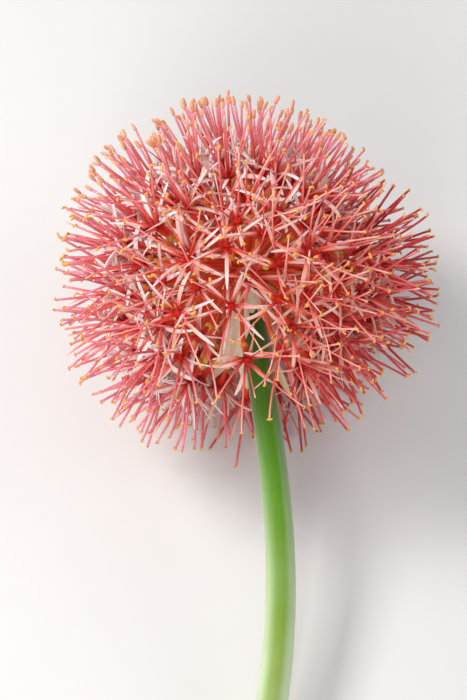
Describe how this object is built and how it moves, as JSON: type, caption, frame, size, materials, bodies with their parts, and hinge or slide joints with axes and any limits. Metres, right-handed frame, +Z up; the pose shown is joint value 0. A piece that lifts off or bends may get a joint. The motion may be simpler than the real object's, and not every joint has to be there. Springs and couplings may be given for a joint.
{
  "type": "blood lily",
  "caption": "Cut blood lily lying on its side: a round red umbel of starry florets with long stamens, papery bracts under it and a thick bare green scape.",
  "frame": {"origin": "on the table that the flower lies on, under the middle of its box", "axes": "+Z up; +Y along the flower from its cut end to its head; +X to the right, the side that the scape bows to"},
  "size_m": [0.1637, 0.325, 0.1523],
  "materials": {
    "scape": "waxy, satin, pale green fading to cream green at the cut end",
    "florets": "soft satin, coral red with paler pink tepals and yellow anthers",
    "bract": "dry, papery, cream to tan with fine lengthwise ribs"
  },
  "bodies": {
    "root": {"scape": "scape", "umbel": "florets", "spathe_bract_1": "bract", "spathe_bract_2": "bract", "spathe_bract_3": "bract", "spathe_bract_4": "bract"}
  },
  "joints": []
}
